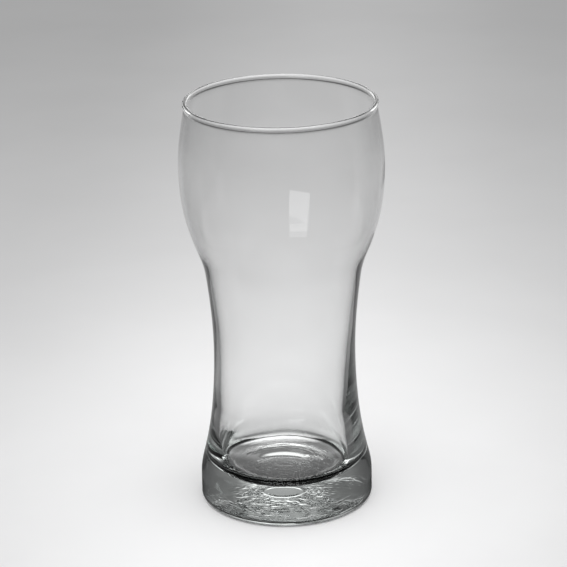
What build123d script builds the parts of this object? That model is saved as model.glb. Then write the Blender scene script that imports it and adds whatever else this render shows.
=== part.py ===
"""Hourglass pint glass: one gather of clear soda-lime glass, pressed to a heavy base and blown in a mould.

The wall is one turned form. Its mould side is set by stations, each a height, a radius and a lean, and pairs
of tangent arcs join them, as on a mould drawing; its inner side follows the same stations less the wall
there. Millimetres, +Z up, with the origin on the glass's axis at the table.
"""

import os
from math import cos, radians, sin, sqrt

from build123d import *

# Heights, each measured up from the one before it; the overall height is their sum.
foot_band_height = 10.0  # near-straight band round the foot, from the table
foot_shoulder_rise = 7.2  # rounded top of the foot band
waist_rise = 47.7  # foot shoulder to the narrowest circle
bowl_root_rise = 32.6  # waist to the tight curve where the bowl begins
bowl_flank_rise = 20.1  # bowl root to the flank of the bowl
bulge_rise = 25.6  # flank to the widest circle
lip_rise = 24.2  # widest circle to the underside of the rim bead
bead_height = 3.0  # fire-polished bead, to the brim

# Outer radii, from the waist outwards.
waist_diameter = 58.2
foot_overhang = 6.5  # foot beyond the waist, each side
foot_shoulder_inset = 1.0  # foot shoulder inside the foot band
bowl_root_step = 2.5  # bowl root beyond the waist
bowl_swell = 12.3  # widest circle beyond the waist
bowl_flank_inset = 3.4  # flank inside the widest circle
lip_tuck = 2.4  # rim bead inside the widest circle
bead_overhang = 0.45  # rim bead beyond the wall under it

# Lean of the mould wall from upright, in degrees, positive where it opens upwards.
foot_shoulder_lean = -14.8
bowl_root_lean = 7.8
bowl_flank_lean = 16.8
lip_lean = -10.4

# Wall, measured level, and how far its inner face leans out from the mould wall there, in degrees.
waist_wall = 2.75
bowl_root_wall = 1.5
bowl_flank_wall = 1.0
bulge_wall = 1.0
lip_wall = 1.15
waist_thinning = 2.2
bowl_root_thinning = 2.6
bowl_flank_thinning = 0.4

# Rim bead, cavity and base.
bead_width = 2.1
plunger_allowance = 3.0  # straight foot of the cavity inside the waist circle, each side
plunger_taper = 13.0  # height below the waist at which the cavity starts to widen
base_thickness = 11.8  # table to the middle of the cavity floor
floor_dish = 0.4  # fall of the floor from its fillet to its middle
floor_fillet = 8.2
heel_radius = 2.2
bearing_width = 4.5  # flat ring that the glass stands on
push_up = 2.0  # hollow under the base, at the axis

# Heights and radii of the stations, worked out from the sizes above.
foot_shoulder_height = foot_band_height + foot_shoulder_rise
waist_height = foot_shoulder_height + waist_rise
bowl_root_height = waist_height + bowl_root_rise
bowl_flank_height = bowl_root_height + bowl_flank_rise
bulge_height = bowl_flank_height + bulge_rise
lip_height = bulge_height + lip_rise
brim_height = lip_height + bead_height
bead_round = bead_width / 2
bead_widest_height = brim_height - bead_round
cavity_straight_height = waist_height - plunger_taper
floor_edge_height = base_thickness + floor_dish

waist_radius = waist_diameter / 2
foot_radius = waist_radius + foot_overhang
foot_shoulder_radius = foot_radius - foot_shoulder_inset
bowl_root_radius = waist_radius + bowl_root_step
bulge_radius = waist_radius + bowl_swell
bowl_flank_radius = bulge_radius - bowl_flank_inset
rim_radius = bulge_radius - lip_tuck
lip_radius = rim_radius - bead_overhang
cavity_radius = waist_radius - plunger_allowance
floor_edge_radius = cavity_radius - floor_fillet
bearing_outer_radius = foot_radius - heel_radius
bearing_inner_radius = bearing_outer_radius - bearing_width

UPRIGHT = 0.0
LEVEL = 90.0  # heading outwards, away from the axis


def bend(start, end, heading):
    """One arc that leaves start along heading and ends at end, or the line where they lie straight."""
    chord = end - start
    if heading.cross(chord).length < 1e-6 * chord.length:
        return Line(start, end)
    return TangentArc(start, end, tangent=heading)


def two_arcs(start, start_lean, end, end_lean):
    """Two arcs, tangent where they meet, between two (radius, height) points and the leans of the wall there."""
    start, end = Vector(*start), Vector(*end)
    leave, arrive = (Vector(sin(radians(lean)), cos(radians(lean))) for lean in (start_lean, end_lean))
    chord, both, turn = end - start, leave + arrive, 2 - 2 * leave.dot(arrive)
    if turn < 1e-9:
        handle = chord.dot(chord) / (4 * chord.dot(arrive))
    else:
        handle = (sqrt(chord.dot(both) ** 2 + turn * chord.dot(chord)) - chord.dot(both)) / turn
    first, last = start + leave * handle, end - arrive * handle
    meeting = (first + last) / 2
    return [bend(start, meeting, leave), bend(meeting, end, last - first)]


def wall_face(*stations):
    """The arcs that run up through stations, each a radius, a height and a lean."""
    arcs = []
    for (low_radius, low_height, low_lean), (high_radius, high_height, high_lean) in zip(stations, stations[1:]):
        arcs += two_arcs((low_radius, low_height), low_lean, (high_radius, high_height), high_lean)
    return arcs


def mould_side():
    """The outside of the glass, from the top of the foot band to the widest circle of the bead."""
    return wall_face(
        (foot_radius, foot_band_height, UPRIGHT),
        (foot_shoulder_radius, foot_shoulder_height, foot_shoulder_lean),
        (waist_radius, waist_height, UPRIGHT),
        (bowl_root_radius, bowl_root_height, bowl_root_lean),
        (bowl_flank_radius, bowl_flank_height, bowl_flank_lean),
        (bulge_radius, bulge_height, UPRIGHT),
        (lip_radius, lip_height, lip_lean),
        (rim_radius, bead_widest_height, UPRIGHT),
    )


def drink_side():
    """The inside of the glass, from the straight foot of the cavity to the narrowest circle of the bead."""
    return wall_face(
        (cavity_radius, cavity_straight_height, UPRIGHT),
        (waist_radius - waist_wall, waist_height, waist_thinning),
        (bowl_root_radius - bowl_root_wall, bowl_root_height, bowl_root_lean + bowl_root_thinning),
        (bowl_flank_radius - bowl_flank_wall, bowl_flank_height, bowl_flank_lean + bowl_flank_thinning),
        (bulge_radius - bulge_wall, bulge_height, UPRIGHT),
        (lip_radius - lip_wall, lip_height, lip_lean),
        (rim_radius - bead_width, bead_widest_height, UPRIGHT),
    )


def crown():
    """The melted top of the rim bead, over the brim."""
    outside = (rim_radius, bead_widest_height)
    inside = (rim_radius - bead_width, bead_widest_height)
    return [ThreePointArc(outside, (rim_radius - bead_round, brim_height), inside)]


def cavity_floor():
    """The floor that the drink stands on, its fillet, and the straight foot of the cavity."""
    floor_edge = (floor_edge_radius, floor_edge_height)
    fillet_top = (cavity_radius, floor_edge_height + floor_fillet)
    return [
        *two_arcs((0, base_thickness), LEVEL, floor_edge, LEVEL),
        TangentArc(floor_edge, fillet_top, tangent=(1, 0)),
        Line(fillet_top, (cavity_radius, cavity_straight_height)),
    ]


def base_side():
    """The underside and heel: hollow, bearing ring, rounded heel and the straight foot band."""
    ring_outside = (bearing_outer_radius, 0)
    heel_top = (foot_radius, heel_radius)
    return [
        *two_arcs((0, push_up), LEVEL, (bearing_inner_radius, 0), LEVEL),
        Line((bearing_inner_radius, 0), ring_outside),
        TangentArc(ring_outside, heel_top, tangent=(1, 0)),
        Line(heel_top, (foot_radius, foot_band_height)),
    ]


def glass():
    """The whole glass, turned from one half-section."""
    axis_line = Line((0, push_up), (0, base_thickness))
    half_section = make_face([*base_side(), *mould_side(), *crown(), *drink_side(), *cavity_floor(), axis_line])
    return revolve(Plane.XZ * half_section, Axis.Z)


os.makedirs("parts", exist_ok=True)
export_step(glass(), "parts/glass.step")
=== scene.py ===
from math import atan2, ceil, cos, pi, radians, sin, sqrt

import bpy
import numpy as np
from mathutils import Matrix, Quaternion, Vector, noise


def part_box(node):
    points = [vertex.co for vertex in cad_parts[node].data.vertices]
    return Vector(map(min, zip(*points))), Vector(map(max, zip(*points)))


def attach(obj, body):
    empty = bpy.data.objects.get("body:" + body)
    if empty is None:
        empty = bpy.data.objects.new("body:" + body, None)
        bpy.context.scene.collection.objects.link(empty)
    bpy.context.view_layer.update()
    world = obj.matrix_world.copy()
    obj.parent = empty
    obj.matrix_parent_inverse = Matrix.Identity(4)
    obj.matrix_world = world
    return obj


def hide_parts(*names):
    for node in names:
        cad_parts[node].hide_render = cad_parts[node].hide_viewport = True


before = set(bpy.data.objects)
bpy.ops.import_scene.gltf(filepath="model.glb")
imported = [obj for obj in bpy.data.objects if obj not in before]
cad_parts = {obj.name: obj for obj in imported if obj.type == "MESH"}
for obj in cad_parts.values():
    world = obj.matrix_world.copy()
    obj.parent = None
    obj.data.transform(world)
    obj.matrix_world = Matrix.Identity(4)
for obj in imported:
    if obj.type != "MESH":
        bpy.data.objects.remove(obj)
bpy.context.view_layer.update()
scene = bpy.context.scene


# The glass. One gather of clear soda-lime glass, pressed to its heavy base and blown in a mould, its rim
# melted round. The wall follows the solid's turned stations, and carries what pressing and blowing leave: a
# cavity a little off centre low down, a rippled floor corner, a crinkled underside and faintly wavy walls.
glass_low, glass_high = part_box("glass")
brim_height = glass_high.z
bulge_radius = (glass_high.x - glass_low.x) / 2

# Heights of the stations, from the table.
foot_band_height = 0.0100
foot_shoulder_height = 0.0172
waist_height = 0.0649
bowl_root_height = 0.0975
bowl_flank_height = 0.1176
bulge_height = 0.1432
bead_height = 0.0030
lip_height = brim_height - bead_height

# Outer radii of the stations, from how far each stands out from another.
bowl_swell = 0.0123
foot_overhang = 0.0065
foot_shoulder_inset = 0.0010
bowl_root_step = 0.0025
bowl_flank_inset = 0.0034
lip_tuck = 0.0024
bead_overhang = 0.00045
waist_radius = bulge_radius - bowl_swell
foot_radius = waist_radius + foot_overhang
foot_shoulder_radius = foot_radius - foot_shoulder_inset
bowl_root_radius = waist_radius + bowl_root_step
bowl_flank_radius = bulge_radius - bowl_flank_inset
rim_radius = bulge_radius - lip_tuck
lip_radius = rim_radius - bead_overhang

# Lean of the mould wall from upright, in degrees, positive where it opens upwards.
UPRIGHT, LEVEL = 0.0, 90.0
foot_shoulder_lean = -14.8
bowl_root_lean = 7.8
bowl_flank_lean = 16.8
lip_lean = -10.4

# Wall, measured level, and how far its inner face leans out from the mould wall there, in degrees.
waist_wall = 0.00275
bowl_root_wall = 0.0015
bowl_flank_wall = 0.0010
bulge_wall = 0.0010
lip_wall = 0.00115
waist_thinning = 2.2
bowl_root_thinning = 2.6
bowl_flank_thinning = 0.4

# Rim bead, cavity and base.
bead_width = 0.0021
plunger_allowance = 0.0030
plunger_taper = 0.0130
base_thickness = 0.0118
floor_dish = 0.0004
floor_fillet = 0.0082
heel_radius = 0.0022
bearing_width = 0.0045
push_up = 0.0020
bead_round = bead_width / 2
bead_widest_height = brim_height - bead_round
cavity_radius = waist_radius - plunger_allowance
cavity_straight_height = waist_height - plunger_taper
floor_edge_height = base_thickness + floor_dish
floor_edge_radius = cavity_radius - floor_fillet
bearing_outer_radius = foot_radius - heel_radius
bearing_inner_radius = bearing_outer_radius - bearing_width

# The mesh's steps: how far apart points lie along the profile, how many go round the crown of the bead, the
# most an arc turns from one to the next, and how many go round the axis.
wall_step = 0.0022
cavity_step = 0.0012
cavity_foot_step = 0.0009
bearing_step = 0.0006
base_step = 0.00042
underside_step = 0.00033
bead_step = 0.0003
crown_count = 24
widest_turn = 0.11
round_count = 240


def arc(start, end, leave, step):
    """Points along the arc that leaves start along leave and ends at end, without its end."""
    start, end, leave = (np.array(pair, dtype=float) for pair in (start, end, leave))
    side = np.array([-leave[1], leave[0]])
    chord = end - start
    run = np.hypot(*chord)
    turn = 2 * atan2(chord @ side, chord @ leave)
    count = max(2, ceil(run / step), ceil(abs(turn) / widest_turn))
    if abs(turn) < 1e-6:
        return [start + chord * i / count for i in range(count)]
    bend = 2 * sin(turn / 2) / run
    turned = [turn * i / count for i in range(count)]
    return [start + (leave * sin(t) + side * (1 - cos(t))) / bend for t in turned]


def two_arcs(start, start_lean, end, end_lean, step):
    """Points along two arcs, tangent where they meet, between two (radius, height) points and two leans."""
    start, end = np.array(start), np.array(end)
    leave, arrive = (np.array([sin(radians(lean)), cos(radians(lean))]) for lean in (start_lean, end_lean))
    chord, both, turn = end - start, leave + arrive, 2 - 2 * leave @ arrive
    if turn < 1e-9:
        handle = chord @ chord / (4 * chord @ arrive)
    else:
        handle = (sqrt((chord @ both) ** 2 + turn * chord @ chord) - chord @ both) / turn
    first, last = start + leave * handle, end - arrive * handle
    meeting = (first + last) / 2
    along = (last - first) / np.hypot(*(last - first))
    return arc(start, meeting, leave, step) + arc(meeting, end, along, step)


def wall_face(*stations):
    """Points up a wall through stations, each a (radius, height) point and the wall's lean there."""
    points = []
    for (start, start_lean), (end, end_lean) in zip(stations, stations[1:]):
        points += two_arcs(start, start_lean, end, end_lean, wall_step)
    return points


outwards, upwards = (1, 0), (0, 1)
lip_outside = (lip_radius, lip_height)
lip_inside = (lip_radius - lip_wall, lip_height)
bead_inside = (rim_radius - bead_width, bead_widest_height)
fillet_top = (cavity_radius, floor_edge_height + floor_fillet)
floor_edge = (floor_edge_radius, floor_edge_height)

underside = two_arcs((0, push_up), LEVEL, (bearing_inner_radius, 0), LEVEL, underside_step)
bearing_ring = arc((bearing_inner_radius, 0), (bearing_outer_radius, 0), outwards, bearing_step)
heel = arc((bearing_outer_radius, 0), (foot_radius, heel_radius), outwards, base_step)
foot_band = arc((foot_radius, heel_radius), (foot_radius, foot_band_height), upwards, cavity_step)
mould_side = wall_face(
    ((foot_radius, foot_band_height), UPRIGHT),
    ((foot_shoulder_radius, foot_shoulder_height), foot_shoulder_lean),
    ((waist_radius, waist_height), UPRIGHT),
    ((bowl_root_radius, bowl_root_height), bowl_root_lean),
    ((bowl_flank_radius, bowl_flank_height), bowl_flank_lean),
    ((bulge_radius, bulge_height), UPRIGHT),
    (lip_outside, lip_lean),
)
bead_side = two_arcs(lip_outside, lip_lean, (rim_radius, bead_widest_height), UPRIGHT, bead_step)
crown = [
    np.array([rim_radius - bead_round + bead_round * cos(t), bead_widest_height + bead_round * sin(t)])
    for t in np.linspace(0, pi, crown_count, endpoint=False)
]
bead_drink_side = two_arcs(lip_inside, lip_lean, bead_inside, UPRIGHT, bead_step) + [np.array(bead_inside)]
drink_side = wall_face(
    ((cavity_radius, cavity_straight_height), UPRIGHT),
    ((waist_radius - waist_wall, waist_height), waist_thinning),
    ((bowl_root_radius - bowl_root_wall, bowl_root_height), bowl_root_lean + bowl_root_thinning),
    ((bowl_flank_radius - bowl_flank_wall, bowl_flank_height), bowl_flank_lean + bowl_flank_thinning),
    ((bulge_radius - bulge_wall, bulge_height), UPRIGHT),
    (lip_inside, lip_lean),
)
cavity_foot = arc(fillet_top, (cavity_radius, cavity_straight_height), upwards, cavity_foot_step)
fillet = arc(floor_edge, fillet_top, outwards, base_step)
cavity_floor = two_arcs((0, base_thickness), LEVEL, floor_edge, LEVEL, base_step)

# The profile runs from the underside's middle out, up, over the rim and down to the middle of the floor.
runs = [
    ("underside", underside),
    ("ring", bearing_ring),
    ("heel", heel),
    ("mould", foot_band + mould_side),
    ("bead", bead_side + crown + bead_drink_side[::-1]),
    ("drink", drink_side[::-1] + cavity_foot[::-1]),
    ("corner", fillet[::-1]),
    ("floor", cavity_floor[::-1]),
]
profile = np.array([point for _, points in runs for point in points])
face = np.array([name for name, points in runs for _ in points])
rings, ring_face = profile[1:-1], face[1:-1]
along = profile[2:] - profile[:-2]
normal = np.stack([along[:, 1], -along[:, 0]], 1) / np.hypot(*along.T)[:, None]

angle = np.linspace(0, 2 * pi, round_count, endpoint=False)
radius, height = (np.repeat(column[:, None], round_count, 1) for column in rings.T)
turn = np.repeat(angle[None, :], len(rings), 0)


def ease(value, start, end):
    """Smooth step from 0 at start to 1 at end, which may be the smaller of the two."""
    share = np.clip((value - start) / (end - start), 0, 1)
    return share * share * (3 - 2 * share)


def ridges(x, y, z, sharpness):
    """Ridged noise, from 0 to 1, at the points (x, y, z), given in ridge widths."""
    points = zip(x.ravel(), y.ravel(), z.ravel())
    values = np.array([noise.noise(Vector(p)) for p in points]).reshape(x.shape)
    return (1 - np.abs(values)) ** sharpness


def ring_ridges(rows, wander, place, sharpness):
    """Ridges that run round the axis and wander as they go. Place counts them in ridge widths."""
    return ridges(wander * np.cos(turn[rows]), wander * np.sin(turn[rows]), place, sharpness)


def on(*names):
    """Which rings lie on the named faces."""
    return np.isin(ring_face, names)


relief = np.zeros_like(radius)

# Walls: the faint waves of blown glass, at most 0.08 mm deep on each side. Each set has a number of waves
# round the axis, radians per metre up the wall, and a start in radians.
wave_depth = 0.00004
wall_waves = ((2, 40, 0.3), (3, -65, 1.9), (5, 90, 4.0), (4, -120, 2.6), (7, 60, 5.1))
waves = sum(np.cos(around * turn + up * height + start) for around, up, start in wall_waves)
rows = on("mould", "drink", "bead")
relief[rows] = (wave_depth * (waves / len(wall_waves) - 1))[rows]

# Floor and its corner: rings of ripple where the plunger chilled the glass, and a smooth middle. They begin
# between the first two radii and fade up the corner between the two heights.
floor_ripple_depth = 0.00015
floor_ripple_width = 0.0015
floor_ripple_wander = 2.2
floor_ripple_sharpness = 3.0
floor_ripple_radii = (0.0126, 0.0152)
floor_ripple_heights = (0.0123, 0.0136)
rows = on("corner", "floor")
steps = np.hypot(*np.diff(rings[rows], axis=0, prepend=rings[rows][:1]).T)
path = np.repeat(np.cumsum(steps)[:, None], round_count, 1)
ripples = ring_ridges(rows, floor_ripple_wander, path / floor_ripple_width, floor_ripple_sharpness)
reach = ease(radius[rows], *floor_ripple_radii) * (1 - ease(height[rows], *floor_ripple_heights))
relief[rows] = floor_ripple_depth * reach * (ripples - 0.5)

# Underside: a smooth oval where the gather was sheared, and crinkled patches round it, each with its place
# and size. The front half has rings of ripple, fine ones crossed by broad ones. The push-up also bulges
# higher between its middle and its edge. A slice is where a pattern is cut from the noise.
shear_x, shear_y = -0.001, 0.002
shear_half_width, shear_half_depth = 0.0052, 0.0042
shear_height = 0.00012
shear_edge_width = 0.10
shear_margin = (0.95, 1.25)
crinkle_depth = 0.00046
crinkle_width, crinkle_slice, crinkle_sharpness = 0.0013, 9, 3.0
crinkle_patches = (
    (-0.0075, 0.0025, 0.0042), (0.0070, 0.0015, 0.0040), (0.0130, 0.0100, 0.0030), (-0.022, -0.012, 0.0050),
    (0.023, -0.008, 0.0034),
)
ripple_height = 0.00030
ripple_sharpness = 2.0
fine_ripple_width, fine_ripple_wander, fine_ripple_slice = 0.0016, 2.3, 40
broad_ripple_width, broad_ripple_wander, broad_ripple_slice = 0.0040, 4.5, 11
ripple_start_radii = (0.004, 0.007)
ripple_end_radii = (0.023, 0.028)
ripple_back = (-0.004, 0.004)
push_up_bulge = 0.00028
push_up_middle_radii = (0.004, 0.016)
push_up_edge_radii = (0.0275, 0.0190)
rows = on("underside")
out = radius[rows]
x, y = out * np.cos(turn[rows]), out * np.sin(turn[rows])
shear = np.hypot((x - shear_x) / shear_half_width, (y - shear_y) / shear_half_depth)
shear_edge = np.exp(-(((shear - 1) / shear_edge_width) ** 2))
beyond_shear = ease(shear, *shear_margin)
cut = np.full_like(x, crinkle_slice)
crinkles = ridges(x / crinkle_width, y / crinkle_width, cut, crinkle_sharpness)
patches = sum(
    np.exp(-((x - patch_x) ** 2 + (y - patch_y) ** 2) / size**2)
    for patch_x, patch_y, size in crinkle_patches
)
fine_place = out / fine_ripple_width + fine_ripple_slice
broad_place = out / broad_ripple_width + broad_ripple_slice
ripples = ring_ridges(rows, fine_ripple_wander, fine_place, ripple_sharpness)
ripples *= ring_ridges(rows, broad_ripple_wander, broad_place, ripple_sharpness)
banded = ease(out, *ripple_start_radii) * (1 - ease(out, *ripple_end_radii)) * (1 - ease(y, *ripple_back))
shoulder = ease(out, *push_up_edge_radii) * ease(out, *push_up_middle_radii)
relief[rows] = (
    -push_up_bulge * shoulder + shear_height * shear_edge
    - beyond_shear * (crinkle_depth * np.clip(patches, 0, 1) * crinkles + ripple_height * banded * ripples)
)

# Inner wall: the low swelling that the settling glass leaves just above the floor, strongest at the back.
settle_height = 0.0262
settle_swell = 0.00012
settle_reach = 0.0011
settle_back = (0.45, 0.98)
rows = on("drink")
settled = np.exp(-(((height[rows] - settle_height) / settle_reach) ** 2))
relief[rows] += settle_swell * settled * ease(np.sin(turn[rows]), *settle_back)

# The cavity stands a little to one side low down, so one wall is thicker there: by a share of the drift at
# the floor, by all of it a little above the floor's corner, and by none of it from a little above the waist.
cavity_drift = -0.0011
floor_share = 0.4
drift_grows = (0.014, 0.030)
drift_fades = (0.030, 0.078)
inside = on("drink", "corner", "floor")[:, None]
growth = floor_share + (1 - floor_share) * ease(height, *drift_grows)
drift = cavity_drift * growth * (1 - ease(height, *drift_fades)) * inside

# It also follows the flare of the foot a little, so below the waist it is widest just above its corner.
foot_flare = 0.0012
flare_heights = (0.042, 0.020)
flare_radii = (0.010, cavity_radius)
flare = foot_flare * ease(height, *flare_heights) * ease(radius, *flare_radii) * inside

new_radius = radius + normal[:, 0:1] * relief + flare
new_height = height + normal[:, 1:2] * relief
corners = np.stack(
    [new_radius * np.cos(turn) + drift, new_radius * np.sin(turn), new_height], -1
).reshape(-1, 3)
under_centre = [0, 0, profile[0, 1]]
floor_centre = [floor_share * cavity_drift, 0, profile[-1, 1]]
vertices = np.vstack([corners, [under_centre, floor_centre]])
index = np.arange(len(rings) * round_count).reshape(len(rings), round_count)
beside = np.roll(index, -1, 1)
quads = np.stack([index[:-1], beside[:-1], beside[1:], index[1:]], -1).reshape(-1, 4).tolist()
under_fan = [(len(corners), b, a) for a, b in zip(index[0].tolist(), beside[0].tolist())]
floor_fan = [(len(corners) + 1, a, b) for a, b in zip(index[-1].tolist(), beside[-1].tolist())]

mesh = bpy.data.meshes.new("clear_glass_body")
mesh.from_pydata(vertices.tolist(), [], quads + under_fan + floor_fan)
mesh.polygons.foreach_set("use_smooth", [True] * len(mesh.polygons))
mesh.update()
glass = bpy.data.objects.new("clear_glass_body", mesh)
scene.collection.objects.link(glass)


def wire(tree, source, target):
    """Feed the socket target from source, or set it to source where that is a plain value."""
    if isinstance(source, bpy.types.NodeSocket):
        tree.links.new(source, target)
    else:
        target.default_value = source


def add_node(tree, kind, inputs=(), **settings):
    """A new shader node's outputs. Its inputs are named or counted, and each is a socket or a value."""
    node = tree.nodes.new("ShaderNode" + kind)
    for setting, value in settings.items():
        setattr(node, setting, value)
    for name, source in dict(inputs).items():
        wire(tree, source, node.inputs[name])
    return node.outputs


def remap(tree, value, start, end, low, high, how="SMOOTHSTEP"):
    """Low where value is at start and high where it is at end."""
    limits = {"From Min": start, "From Max": end, "To Min": low, "To Max": high}
    return add_node(tree, "MapRange", {"Value": value, **limits}, interpolation_type=how)["Result"]


# Its material: clear, faintly grey-green by thickness, with thin smears of handling that blur and dull it.
clear_index = 1.52
tint_colour = (0.91, 0.935, 0.925, 1)
tint_per_metre = 22
smear_scale = 55
smear_roughness = 0.022
smear_tone = 0.985
glass_material = bpy.data.materials.new("clear_soda_lime_glass")
glass_material.use_nodes = True
tree = glass_material.node_tree
shader = tree.nodes["Principled BSDF"].inputs
shader["Transmission Weight"].default_value = 1.0
shader["IOR"].default_value = clear_index
own_place = add_node(tree, "TexCoord")["Object"]
smear_pattern = {"Vector": own_place, "Scale": smear_scale, "Detail": 4, "Distortion": 0.6}
smears = add_node(tree, "TexNoise", smear_pattern)["Fac"]
wire(tree, remap(tree, smears, 0.50, 0.72, 0, smear_roughness), shader["Roughness"])
wire(tree, remap(tree, smears, 0.35, 0.70, 1, smear_tone, "LINEAR"), shader["Base Color"])
tint = add_node(tree, "VolumeAbsorption", {"Color": tint_colour, "Density": tint_per_metre})["Volume"]
wire(tree, tint, tree.nodes["Material Output"].inputs["Volume"])
mesh.materials.append(glass_material)

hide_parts("glass")
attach(glass, "root")


# The floor. A plain pale sheet of matt board that keeps the glass's shadow. Its colour is painted with a
# pool of light that falls off to soft grey with distance. Seen through the glass it is painted with the dark
# and light
# of a room: painted shade under the foot, a painted dark ring of contact shadow where the foot stands and
# painted light from the back, so that the thick base and its corner show dark and bright edges.
floor_reach = 8.0
floor_corners = [(x * floor_reach, y * floor_reach, 0) for x, y in ((-1, -1), (1, -1), (1, 1), (-1, 1))]
floor_mesh = bpy.data.meshes.new("pale_floor")
floor_mesh.from_pydata(floor_corners, [], [(0, 1, 2, 3)])
floor = bpy.data.objects.new("pale_floor", floor_mesh)
scene.collection.objects.link(floor)


def reckon(tree, operation, *values):
    """The answer of a maths node."""
    return add_node(tree, "Math", enumerate(values), operation=operation)["Value"]


def multiply(tree, colour, tone, share=1):
    """The colour times the tone, as far as share says."""
    inputs = {"Factor": share, 6: colour, 7: tone}
    return add_node(tree, "Mix", inputs, data_type="RGBA", blend_type="MULTIPLY")[2]


def tone_ramp(tree, place, tones, blue=1):
    """Greys that change with place. Each tone is a place and its grey, and blue tints them all."""
    start, end = tones[0][0], tones[-1][0]
    share = remap(tree, place, start, end, 0, 1, "LINEAR")
    ramp = tree.nodes.new("ShaderNodeValToRGB")
    wire(tree, share, ramp.inputs["Fac"])
    elements = ramp.color_ramp.elements
    while len(elements) < len(tones):
        elements.new(0.5)
    for element, (spot, tone) in zip(elements, tones):
        element.position = (spot - start) / (end - start)
        element.color = (tone, tone, tone * blue, 1)
    return ramp.outputs["Color"]


floor_material = bpy.data.materials.new("pale_floor")
floor_material.use_nodes = True
tree = floor_material.node_tree
tree.nodes.clear()
place = add_node(tree, "NewGeometry")["Position"]
distance = add_node(tree, "VectorMath", {0: place}, operation="LENGTH")["Value"]
spot = add_node(tree, "SeparateXYZ", {0: place})
aside = reckon(tree, "ABSOLUTE", spot["X"])
path_type = add_node(tree, "LightPath")
looked_through = reckon(tree, "SUBTRACT", 1, path_type["Is Camera Ray"])
inner_rays = reckon(tree, "GREATER_THAN", path_type["Glossy Depth"], 0.5)

# The sheet itself: its tone by distance from the glass's axis, in metres, a painted pool of light brightest
# at the glass, a faint mottle, and a painted fall of light to each side.
painted_floor_falloff_tones = (
    (0.0, 0.98), (0.06, 0.95), (0.12, 0.87), (0.22, 0.73), (0.30, 0.65), (0.40, 0.59), (0.55, 0.52),
    (0.80, 0.45), (2.0, 0.41),
)
mottle_depth = 0.015
grain = add_node(tree, "TexNoise", {"Vector": place, "Scale": 14, "Detail": 5})["Fac"]
mottle = remap(tree, grain, 0.3, 0.7, 1 - mottle_depth, 1 + mottle_depth, "LINEAR")
painted_side_falloff = remap(tree, aside, 0, 0.17, 1.07, 0.87)
sheet = multiply(tree, multiply(tree, tone_ramp(tree, distance, painted_floor_falloff_tones, 1.005), mottle), painted_side_falloff)

# Painted reflection: what rays that turn inside the glass find is a painted dark room, with tones by
# distance too, darker to the sides and nearly black in front of the glass.
painted_reflection_tones = (
    (0.0, 0.07), (0.034, 0.09), (0.045, 0.26), (0.08, 0.42), (0.14, 0.48), (0.20, 0.58), (0.28, 0.80),
    (0.45, 0.95), (0.75, 0.85), (1.0, 0.40), (2.0, 0.22),
)
# Painted dark reflection of the room in front of the glass.
front_tone = (0.07, 0.07, 0.07, 1)
sideness = reckon(tree, "DIVIDE", aside, distance)
side_shade = remap(tree, sideness, 0.55, 0.95, 1, 0.42)
front_side = remap(tree, spot["Y"], 0.02, -0.04, 0, 1)
sided = multiply(tree, tone_ramp(tree, distance, painted_reflection_tones), side_shade)
facing = multiply(tree, sided, front_tone, front_side)
with_painted_reflection = multiply(tree, sheet, facing, inner_rays)

# Painted shade and light under the foot, as if light came in from the back, a little from one side. Seen
# through the glass the floor there glows in these tones. The tones go by metres to the back.
shade_tones = (
    (-0.035, 0.01), (-0.020, 0.02), (-0.012, 0.085), (0.0, 0.11), (0.0088, 0.13), (0.0120, 0.24),
    (0.016, 0.40), (0.0215, 0.28), (0.0280, 0.26), (0.0315, 0.85), (0.035, 1.25),
)
shade_slant = -0.12
backwards = reckon(tree, "MULTIPLY_ADD", spot["X"], shade_slant, spot["Y"])
beneath = remap(tree, distance, 0.0390, 0.0368, 0, 1)
shade_share = reckon(tree, "MULTIPLY", beneath, looked_through)
shaded = multiply(tree, with_painted_reflection, tone_ramp(tree, backwards, shade_tones), shade_share)

# Painted contact shadow: the dark ring where the foot meets the floor, by distance in metres.
contact_shadow_tones = (
    (0.0, 1), (0.0364, 1), (0.0376, 0.60), (0.0387, 0.28), (0.0398, 0.34), (0.0410, 0.75), (0.044, 1),
    (0.06, 1),
)
painted_contact_shadow = multiply(tree, shaded, tone_ramp(tree, distance, contact_shadow_tones), looked_through)

# Far off, the sheet glows in its painted tone instead of being lit. Under the foot, as seen through the
# glass, it glows in its painted shade and light. Elsewhere it is lit.
far = remap(tree, distance, 0.3, 1.2, 0, 1)
glowing = reckon(tree, "MAXIMUM", far, shade_share)
lit = add_node(tree, "BsdfDiffuse", {"Color": painted_contact_shadow})["BSDF"]
glow = add_node(tree, "Emission", {"Color": painted_contact_shadow})["Emission"]
surface = add_node(tree, "MixShader", {"Fac": glowing, 1: lit, 2: glow})["Shader"]
add_node(tree, "OutputMaterial", {"Surface": surface})
floor_mesh.materials.append(floor_material)


# The studio. Soft light from above, one window in front, grey walls and the pale backdrop behind the glass.
# Rays that turn inside the glass find a room of dark and light bands, by how steeply they rise, and so the
# clear walls show their edges.
studio_tones = (
    (-0.10, 0.95), (0.0, 0.95), (0.20, 0.88), (0.28, 0.60), (0.36, 0.24), (0.45, 0.17), (0.62, 0.17),
    (0.785, 0.14), (0.805, 0.60), (0.83, 0.60), (0.86, 0.09), (0.96, 0.10), (1.0, 0.12),
)
front_tones = ((-0.10, 0.05), (0.0, 0.05), (0.35, 0.07), (0.60, 0.22), (0.76, 0.95), (0.92, 1.2), (1.0, 0.8))
wall_tone = (0.09, 0.09, 0.092, 1)
soft_tone = (0.80, 0.80, 0.80, 1)
backdrop_tone = (0.43, 0.43, 0.432, 1)


def blend(tree, share, first, second):
    """The first colour, and the second as far as share says."""
    return add_node(tree, "Mix", {"Factor": share, 6: first, 7: second}, data_type="RGBA")[2]


world = bpy.data.worlds.new("studio")
scene.world = world
world.use_nodes = True
tree = world.node_tree
heading = add_node(tree, "SeparateXYZ", {0: add_node(tree, "TexCoord")["Generated"]})
aside = reckon(tree, "ABSOLUTE", heading["X"])
path_type = add_node(tree, "LightPath")

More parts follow.
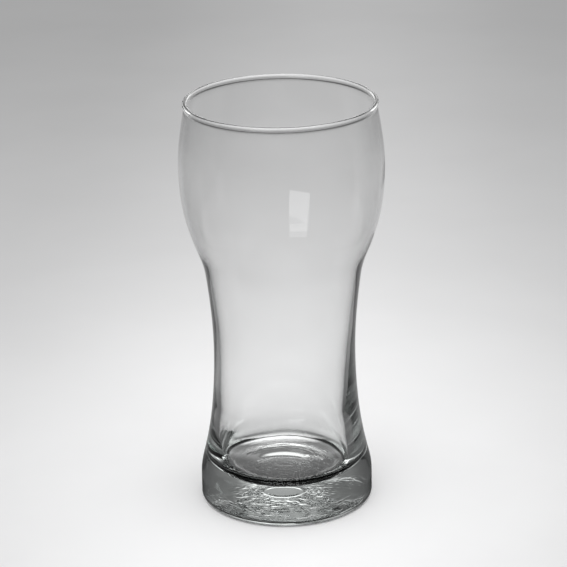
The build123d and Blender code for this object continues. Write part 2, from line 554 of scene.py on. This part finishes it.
# The room behind the glass, with darker walls to the sides and a bright middle, and the room in front of it.
sideways = remap(tree, aside, 0.40, 0.97, 0, 0.85)
middle = remap(tree, aside, 0.32, 0.06, 1, 2.3)
walls = blend(tree, sideways, tone_ramp(tree, heading["Z"], studio_tones), wall_tone)
front_half = remap(tree, heading["Y"], 0.15, -0.35, 0, 1)
front_room = tone_ramp(tree, heading["Z"], front_tones)
room = blend(tree, front_half, multiply(tree, walls, middle), front_room)
lighting = blend(tree, path_type["Is Diffuse Ray"], room, soft_tone)

# The backdrop, which is seen straight, and darker higher up where it is seen through the glass.
straight = reckon(tree, "LESS_THAN", path_type["Glossy Depth"], 0.5)
through = reckon(tree, "MULTIPLY", path_type["Is Transmission Ray"], straight)
seen = reckon(tree, "MAXIMUM", path_type["Is Camera Ray"], through)
above = remap(tree, heading["Z"], 0.04, 0.20, 0.43, 0.11)
backdrop = blend(tree, path_type["Is Camera Ray"], above, backdrop_tone)
wire(tree, blend(tree, seen, lighting, backdrop), tree.nodes["Background"].inputs["Color"])


def softbox(name, stand, aim, width, tall, strength):
    """A rectangular lamp at stand, facing aim. Strength 1 is white."""
    lamp = bpy.data.lights.new(name, "AREA")
    lamp.shape = "RECTANGLE"
    lamp.size, lamp.size_y = width, tall
    lamp.energy = strength * pi * width * tall
    holder = bpy.data.objects.new(name, lamp)
    holder.location = stand
    holder.rotation_mode = "QUATERNION"
    holder.rotation_quaternion = (Vector(aim) - Vector(stand)).to_track_quat("-Z", "Y")
    holder.visible_camera = False
    scene.collection.objects.link(holder)


softbox("overhead", stand=(0.1, -0.3, 2.2), aim=(0, 0, 0), width=1.8, tall=1.4, strength=1.8)
softbox("window", stand=(-0.66, -1.86, 0.79), aim=(0, 0, 0.11), width=0.95, tall=0.52, strength=1.7)


# The camera. It stands in front of the glass, a little to its right, and looks down on it by about twenty
# degrees, with a long lens. Angles are in radians.
view_azimuth = 0.0595
view_elevation = 0.3603
view_roll = -0.01738
view_distance = 0.9762
view_aim = Vector((0, 0, 0.0927))
camera = bpy.data.cameras.new("camera")
camera.sensor_width = 36
camera.lens = 152.4
camera.clip_start = 0.05
camera_holder = bpy.data.objects.new("camera", camera)
camera_holder.rotation_mode = "QUATERNION"
towards_camera = Vector((
    sin(view_azimuth) * cos(view_elevation), -cos(view_azimuth) * cos(view_elevation), sin(view_elevation)
))
camera_holder.location = view_aim + view_distance * towards_camera
level = (-towards_camera).to_track_quat("-Z", "Y")
camera_holder.rotation_quaternion = level @ Quaternion((0, 0, 1), view_roll)
scene.collection.objects.link(camera_holder)
scene.camera = camera_holder

scene.view_settings.view_transform = "Standard"
scene.cycles.max_bounces = 32
scene.cycles.glossy_bounces = 24
scene.cycles.transmission_bounces = 24
